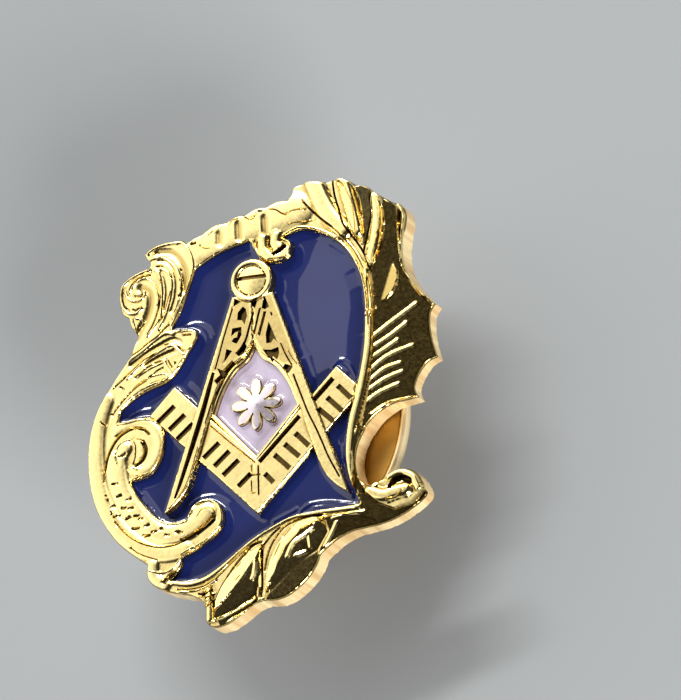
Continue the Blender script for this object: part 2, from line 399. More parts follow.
# Round punch marks. Columns: x, y.
DOTS = [
    (-3.17, 6.23), (-3.14, 5.78), (-3.22, 5.2), (-3.28, 5.18), (-3.58, 6), (-4.02, 5.88), (-4, 4.4),
    (-4.06, 5.25), (-3.48, 2.5), (-6.43, -2.5), (-6.35, -2.7), (-6.2, -3.25), (-6.1, -3.4),
    (-5.93, -3.75), (-5.42, -4.7), (4.88, 4.6), (4.9, 4.35), (4.92, 4.1), (4.9, 3.85), (4.93, 3.6)
]
# Dashes punched across the scroll's inner band. Columns: x, y, length, depth.
DASHES = [
    (-6.02, -2.11, .25, .05), (-5.87, -2.61, .25, .07), (-5.42, -2.79, .15, .05), (-5.67, -3.1, .15, .07),
    (-5.35, -3.17, .2, .04), (-5.5, -3.52, .2, .09), (-5.18, -3.98, .25, .12), (-4.72, -4.32, .25, .12),
    (-4.67, -3.91, .15, .06), (-4.4, -4.18, .2, .07), (-4.1, -4.12, .1, .06), (-3.4, -4.33, .16, .06),
    (-3.3, -4.36, .14, .06), (-6.1, -3, .15, .04), (-5.1, -3.5, .2, .05), (-5.9, -3.4, .12, .05),
    (-4.95, -3.62, .16, .05), (-3.85, -4.4, .12, .05)
]
dot_r = 0.055
dot_depth = 0.1
dash_half = 0.05
dash_climb = 0.02
PUNCHED = [(dot_r, dot_depth, [dot, dot]) for dot in DOTS]
PUNCHED += [(dash_half, deep, [(x - length / 2, y), (x + length / 2, y + dash_climb)])
            for x, y, length, deep in DASHES]
facet_edge = 0.08
edge_round = 0.07
relief_edge = 0.05

outline = smooth_loop(OUTLINE)
field = smooth_loop(FIELD)


def curve(spots, spacing=line_step):
    """The smooth line through some places."""
    return smooth_line(spots, spacing) if len(spots) > 2 else np.array(spots, float)


def bands(points, rows, power):
    """Height of round ended bands, from rows of half width, rise and places on the middle line. A
    power of 1 makes them keels, 2 is round, and more is flat topped."""
    height = np.zeros(len(points))
    for half, rise, spots in rows:
        far = nearest_on(points, curve(spots), half)
        height = np.maximum(height, rise * (1 - (far / half) ** power))
    return height


def cut_depth(points):
    """Depth of the lines, dots and dashes that the die cut into the frame."""
    return bands(points, CUTS + PUNCHED, 2)


def lip_height(points):
    """Height that the raised lines add."""
    return np.maximum(bands(points, LIPS, 3), bands(points, RAYS, 1))


def frame_height(points):
    """Height of the frame's relief over the plate's face, but for its cuts."""
    height = bands(points, SWELLS, 4)
    for start, right, up, _, corners in FACETS:
        plane = start + (points - corners[0]) @ (right, up)
        soft = np.clip(0.5 + depth_in(points, np.array(corners), 0.2) / facet_edge, 0, 1)
        height += (plane - height) * soft * soft * (3 - 2 * soft)
    return height + lip_height(points)


# Square and compasses, struck in the same plate and standing up from the floor of the enamel. The
# compasses lie over the square and are held by a slotted screw head. A plain rosette fills the
# centre cell.
emblem_x = -0.13
vertex = np.array([emblem_x, -3.95])
arm_l = 6.25
arm_w = 1.5
square_rise = 0.05
compass_rise = 0.2
cell_wire = 0.2
wire_crown = 0.05
# Right half of the centre cell and right leg, from the emblem's axis, in smooth runs from corners
CENTRE_CELL = [
    [(0, 2.72), (.3, 2.22), (.8, 1.86), (1.15, 1.42), (1.46, .85)], [(1.7, .2), (.85, -.73)], [(0, -1.64)]
]
LEG = [
    [(0, 4.7)], [(.85, 4.8)], [(3.8, -3.58), (3.27, -3.2), (2.8, -2.63), (2.42, -1.66)],
    [(1.86, .1), (1.62, .92), (1.3, 1.55), (.93, 2), (.36, 2.38)], [(0, 2.95)]
]
# Ruler marks, sunk in the square. Columns: x and y of the upper end, x and y of the lower end.
MARKS = [
    (-3.5, .73, -4.23, .13), (-3.07, .33, -3.72, -.2), (-2.73, -.07, -3.4, -.62),
    (-1.66, -.97, -2.3, -1.5), (-1.24, -1.35, -1.86, -1.88), (-.86, -1.75, -1.5, -2.28),
    (-.36, -2.35, -.88, -2.8), (1.5, -.96, 2.04, -1.52), (1.05, -1.34, 1.64, -1.9),
    (.63, -1.72, 1.24, -2.32), (.22, -2.42, .56, -2.8), (3.28, .72, 3.8, .16), (2.84, .3, 3.44, -.32),
    (2.46, -.1, 3.08, -.68)
]
mark_half = 0.1
mark_depth = 0.13
# Pierced ornament of the compasses' legs. Each row holds the corners of a hollow.
HOLLOWS = [
    [(-.86, 4.7), (-.9, 4.4), (-.6, 4.54)], [(-.22, 4.5), (.12, 4.62), (-.02, 4.2)],
    [(-.76, 3.82), (-.72, 4.12), (-.52, 4.33), (-.4, 4.22), (-.36, 3.95), (-.46, 3.62), (-.56, 3.8)],
    [(-.97, 3.5), (-.6, 3.52), (-.6, 3.2), (-.8, 2.88), (-1, 2.98), (-.92, 3.1), (-.78, 3.12),
        (-.72, 3.36), (-.86, 3.34), (-1.02, 3.2)],
    [(-1.23, 2.7), (-1, 2.6), (-1.18, 2.38), (-1.34, 2.18)],
    [(-.5, 2.92), (-.38, 2.7), (-.52, 2.45), (-.72, 2.36), (-.86, 2.5), (-.66, 2.68)],
    [(-1, 2.22), (-.9, 2.1), (-1.12, 1.92), (-1.4, 1.6), (-1.66, 1.36), (-1.76, 1.5), (-1.5, 1.7),
        (-1.62, 1.98), (-1.4, 1.86)], [(.38, 4.68), (.27, 4.18), (.4, 4.12), (.56, 4.2)],
    [(.54, 3.58), (.87, 2.76), (.74, 2.9), (.62, 2.74), (.44, 2.74), (.42, 3.1)],
    [(.28, 2.5), (.6, 2.44), (.92, 2.52), (.95, 2.28), (.86, 2.02), (.7, 2.2), (.62, 2), (.42, 2.3)],
    [(1.1, 1.68), (1.2, 1.8), (1.36, 1.74), (1.5, 1.66), (1.38, 1.5), (1.26, 1.4), (1.22, 1.56)],
    [(-1.84, 1.85), (-2.04, 1.3), (-2.26, .6), (-2.48, -.05), (-2.74, -.8), (-2.99, -1.55), (-3.2, -2.15),
        (-3.5, -3), (-3.42, -3), (-3.16, -2.45), (-2.95, -1.9), (-2.64, -1.1), (-2.38, -.4), (-2.15, .3),
        (-1.94, 1), (-1.74, 1.8)], [(1.62, -.24), (1.74, -.36), (.06, -1.98), (-.06, -1.86)],
    [(3.02, 1.1), (3.16, .96), (2.36, .2), (2.22, .34)]
]
hollow_depth = 0.2
sunk_edge = 0.02
# Lines cut in the emblem. Each row: half width, depth, and the places that the line runs through.
LINES = [
    (.05, .14, [(-.1, 4.02), (-.28, 3.42), (-.42, 2.98), (-.6, 2.62)]),
    (.035, .1, [(-.96, 4.3), (-1.16, 3.7), (-1.36, 3.1), (-1.54, 2.5), (-1.7, 2)]),
    (.03, .08, [(-1.5, 1.35), (-1.78, .9), (-2.02, .25), (-2.16, -.15)]),
    (.03, .06, [(-2.5, -1.1), (-2.75, -1.9), (-3.05, -2.6), (-3.4, -3.1)]),
    (.045, .14, [(.18, 4.15), (.06, 3.7), (-.06, 3.24)]),
    (.06, .14, [(.38, 3.96), (.26, 3.55), (.14, 3.16)]),
    (.04, .1, [(.64, 3.94), (.68, 3.85)]),
    (.035, .09, [(1.04, 2.62), (1.24, 2.15), (1.46, 1.75)]),
    (.02, .05, [(1.32, 2.35), (1.5, 2), (1.66, 1.78)]),
    (.04, .11, [(1.52, 1.35), (1.86, .4), (2.1, -.25), (2.36, -.8), (2.62, -1.4), (2.9, -2.1),
        (3.32, -2.92)]),
    (.03, .07, [(-2, -.25), (-1.1, -1.1), (-.2, -1.9)]),
    (.04, .1, [(-.05, -2.1), (-.05, -3.2)]),
    (.04, .08, [(-.48, -2.4), (0, -2.42)]),
    (.04, .06, [(-.33, -2.08), (-.33, -2.3)]),
    (.03, .04, [(-.34, -2.65), (-.34, -3.1)]),
    (.03, .04, [(-.34, -3.12), (-.18, -3.12)])
]
# The screw head: a ring with a round bead, a groove inside it, and a slotted dome
pivot = np.array([emblem_x, 5.33])
pivot_r = 0.87
pivot_rise = 0.3
bead_r = 0.75
bead_half = 0.13
bead_rise = 0.06
groove_in = 0.57
groove_out = 0.61
groove_depth = 0.08
dome_r = 0.56
dome_rise = 0.02
slot_up = 0.12
slot_half = 0.05
slot_depth = 0.14
petals = 8
motif = np.array([emblem_x, 0.42])
motif_r = 1.05
motif_hollow = 0.42
petal_rise = 0.06
motif_below = 0.05
petal_lean = 0.7


def mirrored(points):
    return points * [-1, 1]


def from_arm(corners, side):
    """The front view's places of corners given along and across an arm."""
    along, across = np.array(corners, float).T
    return np.stack([along - across, along + across], 1) / math.sqrt(2) * [side, 1] + vertex


def directions(count):
    """Equal turns round a circle, and the way that each one points."""
    turn = np.linspace(0, 2 * math.pi, count, endpoint=False)
    return turn, np.stack([np.cos(turn), np.sin(turn)], 1)


def rosette_edge(angle):
    """Radius of the rosette's edge in a direction."""
    swing = np.abs(np.cos(petals * angle / 2))
    return motif_hollow + (motif_r - motif_hollow) * swing ** 0.8


half_cell = smooth_loop(CENTRE_CELL)
half_cell = half_cell[half_cell[:, 0] > 0.001]
centre_cell = np.vstack([CENTRE_CELL[0][:1], half_cell, CENTRE_CELL[-1], mirrored(half_cell)[::-1]])
centre_cell += [emblem_x, 0]
cell_edge = parallel(centre_cell, cell_wire)
leg = smooth_loop(LEG)
legs = [leg + [emblem_x, 0], mirrored(leg) + [emblem_x, 0]]
arms = [straight_loop(from_arm([[0, 0], [arm_l, 0], [arm_l, arm_w], [0, arm_w]], side)) for side in (1, -1)]
circle = directions(80)[1]
emblem_loops = legs + arms + [pivot + pivot_r * circle, cell_edge]
petal_turns, petal_ways = directions(240)
rosette = motif + rosette_edge(petal_turns)[:, None] * petal_ways
marks = []
for x0, y0, x1, y1 in MARKS:
    upper, lower = np.array([x0, y0]), np.array([x1, y1])
    aside = np.array([y0 - y1, x1 - x0]) * mark_half / math.dist(upper, lower)
    marks.append(straight_loop([upper + aside, upper - aside, lower - aside, lower + aside]))
hollows = [straight_loop(corners) for corners in HOLLOWS]


def emblem_height(points):
    """Height of the emblem over the floor of the enamel, and 0 where there is none."""
    base = face_z - floor_z
    top = np.zeros(len(points))
    for arm in arms:
        top = np.maximum(top, flat_top(depth_in(points, arm, 0.3), base + square_rise))
    for mark in marks:
        top -= np.clip(0.5 + depth_in(points, mark, 0.1) / sunk_edge, 0, 1) * mark_depth
    wire = depth_in(points, cell_edge, 0.3)
    crown = wire_crown * (1 - ((wire - cell_wire / 2) / (cell_wire / 2)) ** 2)
    top = np.maximum(top, flat_top(wire, base + np.maximum(crown, 0)))
    for part in legs:
        top = np.maximum(top, flat_top(depth_in(points, part, 0.6), base + compass_rise))
    for hollow in hollows:
        top -= np.clip(0.5 + depth_in(points, hollow, 0.2) / sunk_edge, 0, 1) * hollow_depth
    top -= np.where(top > 0, bands(points, LINES, 2), 0)
    top *= np.clip(0.5 - depth_in(points, centre_cell, 0.1) / wall, 0, 1)
    off = points - pivot
    r = np.linalg.norm(off, axis=1)
    bead = bead_rise * np.sqrt(np.clip(1 - ((r - bead_r) / bead_half) ** 2, 0, 1))
    dome = dome_rise * np.clip(1 - (r / dome_r) ** 2, 0, 1)
    groove = np.where((r > groove_in) & (r < groove_out), groove_depth, 0)
    slot = np.where((np.abs(off[:, 1] - slot_up) < slot_half) & (r < groove_out + 0.01), slot_depth, 0)
    button = base + pivot_rise - bead_rise + np.where(r > groove_out, bead, dome) - groove - slot
    top = np.maximum(top, flat_top(pivot_r - r, button))
    off = points - motif
    r = np.linalg.norm(off, axis=1)
    petal = petal_rise * np.clip(1 - r / motif_r, 0, 1)
    depth = (rosette_edge(np.arctan2(off[:, 1], off[:, 0])) - r) * petal_lean
    return np.maximum(top, flat_top(depth, base - motif_below + petal))


# The struck plate in one mesh: its face follows the relief and the emblem, its sides keep the marks
# of the tool that cut it out, and its back is plain. It is brass, gold plated and polished.
metal_grid = 0.05
covered_grid = 0.4
plate_box = ((-7.3, -8.4), (7.4, 9.2))
field_box = ((-6, -6.3), (4.6, 7.2))
clear_edge = 0.05
past_wall = 0.03
rounded_by = 0.045
rosette_foot = 0.02
petal_edge = 0.04
groove_rings = (0.555, 0.57, 0.615, 0.63)
# Where rings of corners go round the side, as shares of its height from the top
side_rings = (0.08, 0.3, 0.55, 0.8, 1.0)
cut_marks = 0.005
back_round = 0.06


def hex_grid(low, high, pitch):
    """Places on a triangular grid inside a box."""
    rows = np.arange(low[1], high[1], pitch * math.sqrt(3) / 2)
    columns = np.arange(low[0], high[0], pitch)
    return np.array([[x + (i % 2) * pitch / 2, y] for i, y in enumerate(rows) for x in columns])


def between(points, outer, inner):
    """True for each point inside one closed outline and outside all the others."""
    kept = inside(points, outer)
    for loop in inner:
        kept &= ~inside(points, loop)
    return kept


def triangulated(loops, lines, spots):
    """Corners and triangles over some spots, with edges along every closed loop and open line."""
    edges, count = [], 0
    for i, path in enumerate(loops + lines):
        edges += [(j, j + 1) for j in range(count, count + len(path) - 1)]
        if i < len(loops):
            edges.append((count + len(path) - 1, count))
        count += len(path)
    fixed = np.vstack(loops + lines)
    tree = KDTree(len(fixed))
    for i, (x, y) in enumerate(fixed):
        tree.insert((x, y, 0), i)
    tree.balance()
    clear = [s for s in spots if tree.find((s[0], s[1], 0))[2] > 0.4 * metal_grid]
    cloud = [Vector(p) for p in fixed] + [Vector(s) for s in clear]
    corners, _, faces = delaunay_2d_cdt(cloud, edges, [], 0, 1e-6, False)[:3]
    return np.array([tuple(c) for c in corners]), np.array([f for f in faces if len(f) == 3])


def lifted(plan, height):
    """Places in millimetres from places in the drawing and their height."""
    return np.column_stack([plan * drawn_scale, np.broadcast_to(height, len(plan))])


def mesh_piece(name, verts, faces):
    """A new mesh piece from places in millimetres."""
    mesh = bpy.data.meshes.new(name)
    mesh.from_pydata((np.array(verts) * MM).tolist(), [], [list(map(int, face)) for face in faces])
    mesh.validate()
    piece = bpy.data.objects.new(name, mesh)
    bpy.context.scene.collection.objects.link(piece)
    return piece


def closed_up(piece):
    """Joins corners that fall together, closes open ends and turns every face outwards."""
    bm = bmesh.new()
    bm.from_mesh(piece.data)
    bmesh.ops.remove_doubles(bm, verts=bm.verts, dist=1e-7)
    bmesh.ops.holes_fill(bm, edges=[edge for edge in bm.edges if edge.is_boundary])
    bmesh.ops.recalc_face_normals(bm, faces=bm.faces)
    bm.to_mesh(piece.data)
    bm.free()


def smooth_except(piece, degrees):
    """Smooth shading, with creases where the surface turns by more than some degrees."""
    piece.data.shade_smooth()
    piece.data.set_sharp_from_angle(angle=math.radians(degrees))


def beside_line(line, distance):
    """A line moved sideways."""
    run = np.gradient(line, axis=0)
    return line + distance * np.stack([-run[:, 1], run[:, 0]], 1) / np.linalg.norm(run, axis=1)[:, None]


def within_outline(line):
    """The runs of a line that are inside the plate, clear of its edge."""
    clear = depth_in(line, outline, 0.1) > 0.04
    breaks = np.flatnonzero(np.diff(clear.astype(int))) + 1
    return [run for run, kept in zip(np.split(line, breaks), np.split(clear, breaks))
            if kept[0] and len(run) > 1]


def frame_and_emblem(points):
    """Height of the plate's front, over its whole outline."""
    in_round = np.clip(edge_round - depth_in(points, outline, edge_round), 0, edge_round)
    drop = edge_round - np.sqrt(edge_round ** 2 - in_round ** 2)
    in_cell = depth_in(points, field, relief_edge + wall)
    in_lip = np.clip(relief_edge + wall / 2 + in_cell, 0, relief_edge)
    drop += relief_edge - np.sqrt(relief_edge ** 2 - in_lip ** 2)
    height = face_z + frame_height(points) - cut_depth(points) - drop
    share = np.clip(0.5 - in_cell / wall, 0, 1)
    height = floor_z + share * (height - floor_z)
    return np.maximum(height, floor_z + emblem_height(points) - drop * (share > 0))


loops = [parallel(outline, -step) for step in (0, 0.03, edge_round)]
loops += [parallel(field, step) for step in (-wall / 2, wall / 2, relief_edge)]
for loop in emblem_loops:
    loops += [parallel(loop, step) for step in (wall / 2, -wall / 2, -rounded_by)]
for loop in marks + hollows:
    loops += [parallel(loop, step) for step in (sunk_edge / 2, -sunk_edge / 2)]
loops += [parallel(centre_cell, step) for step in (-wall / 2, wall / 2, rounded_by)]
loops += [parallel(rosette, step) for step in (rosette_foot, -rosette_foot)]
loops += [pivot + r * circle for r in groove_rings]
loops = [loop[inside(loop, parallel(outline, 0.02))] for loop in loops]
crests = []
for half, _, spots in LIPS + CUTS + LINES + RAYS:
    crests += [curve(spots)] + [beside_line(curve(spots), step) for step in (half, -half)]
for *_, corners in FACETS:
    crests += [parallel(straight_loop(corners), step) for step in (-facet_edge / 2, facet_edge / 2)]
crests = [run for crest in crests for run in within_outline(crest)]
grid = hex_grid(*plate_box, metal_grid)
grid = grid[depth_in(grid, outline, 0.1) > clear_edge]
under_glass = (depth_in(grid, field, 0.05) > past_wall) & between(grid, field, emblem_loops)
under_glass |= between(grid, parallel(centre_cell, -clear_edge), [parallel(rosette, clear_edge)])
pool = hex_grid(*field_box, covered_grid)
pool = pool[depth_in(pool, field, 0.2) > 0.1]
plan, faces = triangulated(loops, crests, np.vstack([grid[~under_glass], pool]))
faces = faces[inside(plan[faces].mean(1), outline)]
top_z = frame_and_emblem(plan)


def rims_of(faces):
    """Corners along the open edges of a mesh, in order."""
    edges = np.vstack([faces[:, [0, 1]], faces[:, [1, 2]], faces[:, [2, 0]]])
    known = set(map(tuple, edges.tolist()))
    follows = {a: b for a, b in known if (b, a) not in known}
    runs = []
    while follows:
        start, here = next(iter(follows.items()))
        run = [start]
        del follows[start]
        while here in follows:
            run.append(here)
            here = follows.pop(here)
        runs.append(run)
    return runs


def skirt(upper, lower):
    """Faces that join one ring of corners to the ring under it."""
    return [(b, a, c, d) for a, b, c, d in zip(upper, upper[1:] + upper[:1], lower, lower[1:] + lower[:1])]


chance = np.random.default_rng(7)
rim = max(rims_of(faces), key=len)
outwards = parallel(plan[rim], 1.0) - plan[rim]
outwards /= np.linalg.norm(outwards, axis=1)[:, None]
tracks = chance.normal(0, 1, len(rim))
tracks = (tracks + np.roll(tracks, 1)) * cut_marks
rings = []
for share in side_rings:
    ragged = tracks * (1 + 0.3 * chance.normal(0, 1, len(rim)))
    rings.append(lifted(plan[rim] + outwards * ragged[:, None],
                        top_z[rim] * (1 - share) + (back_z + back_round) * share))
back_loop = plan[rim] - outwards * back_round
rings.append(lifted(back_loop, back_z))
first_back = len(plan) + len(rings) * len(rim)
levels = [rim] + [list(range(i, i + len(rim))) for i in range(len(plan), first_back, len(rim))]
wall_faces = [face for upper, lower in zip(levels, levels[1:]) for face in skirt(upper, lower)]
back_grid = hex_grid(*plate_box, covered_grid)
back_grid = back_grid[depth_in(back_grid, back_loop, 0.3) > 0.15]
back_plan, back_faces = triangulated([back_loop], [], back_grid)
back_faces = back_faces[inside(back_plan[back_faces].mean(1), back_loop)]
plate = mesh_piece("struck_plate", np.vstack([lifted(plan, top_z)] + rings + [lifted(back_plan, back_z)]),
                   faces.tolist() + wall_faces + (back_faces[:, ::-1] + first_back).tolist())


def relaxed(faces, values, passes):
    """Values at the corners of a mesh, each averaged with its neighbours some times over."""
    a, b = np.vstack([faces[:, [0, 1]], faces[:, [1, 2]], faces[:, [2, 0]]]).T
    count = len(values)
    shares = np.bincount(a, minlength=count) + np.bincount(b, minlength=count)
    for _ in range(passes):
        values = (np.bincount(a, values[b], count) + np.bincount(b, values[a], count)) / np.maximum(shares, 1)
    return values


def painted(piece, name, values):
    """Gives the first corners of a piece a value for its material to read, and the others 0."""
    whole = np.zeros(len(piece.data.vertices), np.float32)
    whole[:len(values)] = values
    piece.data.attributes.new(name, "FLOAT", "POINT").data.foreach_set("value", whole)


# Tarnish and polishing dust fill whatever lies this much below its surroundings, the cuts, some of
# the facets, and the chased panels of the legs above a height
full_below = 0.11
full_cut = 0.1
panel_foot = 1.9
panel_in = 0.12
panel_dust = 0.24
in_frame = depth_in(plan, field, 0.1) < 0
dust = np.where(in_frame, cut_depth(plan), bands(plan, LINES, 2)) / full_cut
for shape in hollows + marks:
    dust = np.maximum(dust, inside(plan, shape))
between_lips = in_frame & (lip_height(plan) < 0.01)
for *_, facet_dust, corners in FACETS:
    dust = np.maximum(dust, facet_dust * between_lips * inside(plan, np.array(corners)))
for part in legs:
    panel = (depth_in(plan, part, 0.2) > panel_in) & (plan[:, 1] > panel_foot)
    dust = np.maximum(dust, panel * panel_dust)
below = (relaxed(faces, top_z, 20) - top_z) * (~in_frame | between_lips)
painted(plate, "recess", np.clip(np.maximum(below / full_below, dust), 0, 1))
painted(plate, "side", np.arange(first_back) >= len(plan))
painted(plate, "bloom", np.clip(depth_in(plan, parallel(rosette, -petal_edge), 0.1) / petal_edge, 0, 1))
closed_up(plate)
smooth_except(plate, 38)


def linear(colour):
    """A hex colour in sRGB as the linear colour that a node takes."""
    shares = [int(colour[i:i + 2], 16) / 255 for i in (1, 3, 5)]
    return [s / 12.92 if s <= 0.04045 else ((s + 0.055) / 1.055) ** 2.4 for s in shares] + [1.0]


def add(tree, kind, values=None, links=None, **settings):
    """Adds a node with its settings, the values of its sockets, and the outputs that feed them."""
    node = tree.nodes.new(kind)
    for name, value in settings.items():
        setattr(node, name, value)
    for socket, value in (values or {}).items():
        node.inputs[socket].default_value = value
    for socket, (source, output) in (links or {}).items():
        tree.links.new(source.outputs[output], node.inputs[socket])
    return node


def new_material(name):
    """A material and its empty tree of nodes."""
    material = bpy.data.materials.new(name)
    material.use_nodes = True
    material.node_tree.nodes.clear()
    return material, material.node_tree


# Gold plate over brass: bright pale yellow, with a mirror polish that follows the small unevenness
# of the metal, and darker brown where polishing dust and tarnish stay in the recesses. The shorn
# sides are duller, with fine upright streaks drawn as wide as they need to show.
gold_bright = "#F4DD97"
gold_tan = "#BFA563"
gold_tarnish = "#3C2C12"
gold_side = "#FFE6AC"
gold_shade = "#E3BC80"
petal_hex = "#D2C7CF"
streak_mm = 0.35
wave_mm = 0.9
grain_mm = 0.12
gold, tree = new_material("polished_gold_plate")
place = add(tree, "ShaderNodeTexCoord")
recess = add(tree, "ShaderNodeAttribute", attribute_name="recess")
at_side = add(tree, "ShaderNodeAttribute", attribute_name="side")
at_petals = add(tree, "ShaderNodeAttribute", attribute_name="bloom")
waves = add(tree, "ShaderNodeTexNoise", {"Scale": 1 / (wave_mm * MM), "Detail": 2.0},
            {"Vector": (place, "Object")})
grain = add(tree, "ShaderNodeTexNoise", {"Scale": 1 / (grain_mm * MM), "Detail": 3.0},
            {"Vector": (place, "Object")})
dusty = add(tree, "ShaderNodeMapRange", {"From Min": 0.03, "From Max": 0.35}, {"Value": (recess, "Fac")})
brown = add(tree, "ShaderNodeMapRange", {"From Min": 0.4, "To Max": 0.9}, {"Value": (recess, "Fac")})
tint = add(tree, "ShaderNodeMix", {6: linear(gold_bright), 7: linear(gold_tan)},
           {0: (dusty, "Result")}, data_type="RGBA")
tint = add(tree, "ShaderNodeMix", {7: linear(gold_tarnish)}, {0: (brown, "Result"), 6: (tint, 2)},
           data_type="RGBA")
upright = add(tree, "ShaderNodeMapping", {"Scale": (1, 1, 0.03)}, {"Vector": (place, "Object")})
streaks = add(tree, "ShaderNodeTexNoise", {"Scale": 1 / (streak_mm * MM), "Detail": 2.0},
              {"Vector": (upright, "Vector")})
shorn = add(tree, "ShaderNodeMapRange", {"From Min": 0.38, "From Max": 0.62}, {"Value": (streaks, "Fac")})
shorn = add(tree, "ShaderNodeMix", {6: linear(gold_shade), 7: linear(gold_side)}, {0: (shorn, "Result")},
            data_type="RGBA")
tint = add(tree, "ShaderNodeMix", {}, {0: (at_side, "Fac"), 6: (tint, 2), 7: (shorn, 2)}, data_type="RGBA")
tint = add(tree, "ShaderNodeMix", {7: linear(petal_hex)}, {0: (at_petals, "Fac"), 6: (tint, 2)},
           data_type="RGBA")
rough = add(tree, "ShaderNodeMapRange", {"From Min": 0.3, "From Max": 0.7, "To Min": 0.15, "To Max": 0.22},
            {"Value": (grain, "Fac")})
rough = add(tree, "ShaderNodeMix", {3: 0.42}, {0: (at_side, "Fac"), 2: (rough, "Result")})
plated = add(tree, "ShaderNodeMapRange", {"To Min": 1.0, "To Max": 0.3}, {"Value": (at_side, "Fac")})
soft = add(tree, "ShaderNodeBump", {"Strength": 0.12, "Distance": 0.05 * MM}, {"Height": (waves, "Fac")})
bump = add(tree, "ShaderNodeBump", {"Strength": 0.08, "Distance": 0.01 * MM},
           {"Height": (grain, "Fac"), "Normal": (soft, "Normal")})
skin = add(tree, "ShaderNodeBsdfPrincipled", {},
           {"Base Color": (tint, 2), "Roughness": (rough, 0), "Normal": (bump, "Normal"),
            "Metallic": (plated, "Result")})
add(tree, "ShaderNodeOutputMaterial", links={"Surface": (skin, "BSDF")})
plate.data.materials.append(gold)
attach(plate, "root")
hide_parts("body")

# Post. A brass wire soldered to the back, turned to a point so that it goes through the cloth, and
# gold plated with the plate. The solder leaves a small fillet round its root.
post_r = 0.55
post_end = 0.6
post_point = 0.5
fillet = 0.35
# Columns: radius, height.
POST = [(0, post_end), (0.1, post_end + 0.02), (0.17, post_end + 0.08), (post_r * 0.7, post_end + 0.3),
        (post_r - 0.03, post_end + post_point), (post_r, post_end + post_point + 0.15),
        (post_r, back_z - fillet - 0.1), (post_r + 0.02, back_z - fillet),
        (post_r + 0.1, back_z - 0.15), (post_r + 0.2, back_z - 0.05), (post_r + fillet, back_z + 0.02)]


def swept(name, rows, degrees):
    """A piece from rows of corners, each joined to the next, with closed ends."""
    wide = len(rows[0])
    faces = [(i + j, i + (j + 1) % wide, i + (j + 1) % wide + wide, i + j + wide)
             for i in range(0, (len(rows) - 1) * wide, wide) for j in range(wide)]
    piece = mesh_piece(name, np.vstack(rows), faces)
    closed_up(piece)
    smooth_except(piece, degrees)
    return piece


def lathed(profile, around=64):
    """Rows of corners round the post's axis, from rows of radius and height."""
    ways = directions(around)[1]
    return [np.column_stack([r * ways, np.full(around, z)]) for r, z in profile]


post = swept("post", lathed(POST), 50)
post.data.materials.append(gold)
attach(post, "root")

# Enamel. Glass enamel in navy and lilac fills the cells between the walls of metal. It is fired in
# them, climbs a little at each wall as it melts, and is polished to a high gloss.
enamel_gap = 0.012
enamel_top = 0.19
glass_grid = 0.07
glass_wall = 0.03
navy_sag = 0.03
navy_meniscus = 0.06
lilac_sag = 0.08
lilac_meniscus = 0.1
# Thin welts where the glass climbed round the tips of the metal, which catch the light
WELTS = [
    [(-3.02, 3.98), (-2.7, 4.04), (-2.35, 3.96), (-2.08, 3.75), (-1.95, 3.45)],
    [(-2.88, 1.6), (-2.6, 1.3), (-2.42, .88)],
    [(-2.95, -3.2), (-2.6, -2.98), (-2.1, -2.95), (-1.7, -3.1), (-1.42, -3.3)],
    [(-5.35, -2.2), (-5.1, -2.6)], [(-4.9, -2.5), (-4.6, -2.95), (-4.3, -3.4), (-4.15, -3.7)],
    [(2.98, 1.6), (3.3, 1.84), (3.65, 1.62), (3.95, .95)],
    [(1.5, -3.98), (1.9, -3.74), (2.6, -3.72), (3.3, -3.84), (4, -4)],
    [(2.05, -3.9), (2.8, -3.88), (3.6, -3.95)], [(-2.6, 6.1), (-2.3, 6.35), (-1.9, 6.5), (-1.3, 6.68)],
    [(3.3, -1.6), (3.35, -2.2), (3.45, -2.8), (3.62, -3.3)], [(.4, -4.25), (1, -4.02), (1.4, -3.86)],
    [(-5.4, .62), (-5, .78), (-4.6, .8)]
]
welt_half = 0.1
welt_rise = 0.0165
welt_power = 1.3
# The glass climbs further up the walls on its upper left, which leaves a dark band along them
climb = 0.07
climb_reach = 0.45
# The badge cooled a little tilted, so the glass lies lower to the right, but for one zone of the
# upper right cell that settled the other way. Columns: x, y.
SETTLED = [
    (2.5, 7), (2.25, 6.5), (2, 5.9), (1.6, 5.3), (1.55, 4.3), (1.6, 3.6), (1.8, 2.8), (2.1, 2.2),
    (2.3, 1.3), (3, 1.6), (3.6, 1.9), (3.65, 2.8), (3.8, 3.8), (3.75, 4.5), (3.5, 5.2), (3.2, 5.8),
    (2.9, 6.5)
]
downhill = np.array([1, -1]) / math.sqrt(2)
glass_fall = 0.013
level_way = -2.6
zone_corner = (0.35, 0.6)
zone_heart = (2.6, 4)
zone_sink = 0.05
zone_rise = 0.014
zone_fall = 0.085
channel_up = 0.1
# One place inside each cell that a node fills
CELLS = {"enamel_upper_left": [(-2.0, 5.0)], "enamel_upper_right": [(2.6, 4.0)],
         "enamel_lower": [(-0.5, -4.6), (-4.3, -2.4)], "enamel_lower_right": [(3.1, -0.6)]}


def glass_sheet(box, outer, inner, lines, sag, meniscus):
    """Corners and triangles of the glass in an outline and round some walls, its edges, and its sag."""
    edges = [parallel(outer, -enamel_gap)] + [parallel(loop, enamel_gap) for loop in inner]
    grid = hex_grid(*box, glass_grid)
    clear = depth_in(grid, outer, 0.2)
    for loop in inner:
        clear = np.minimum(clear, -depth_in(grid, loop, 0.2))
    plan, faces = triangulated(edges, lines, grid[clear > glass_wall])
    faces = faces[between(plan[faces].mean(1), edges[0], edges[1:])]
    to_wall = np.minimum.reduce([nearest_round(plan, loop, 3.0) for loop in edges])
    return plan, faces, edges, sag * (1 - np.exp(-to_wall / meniscus))


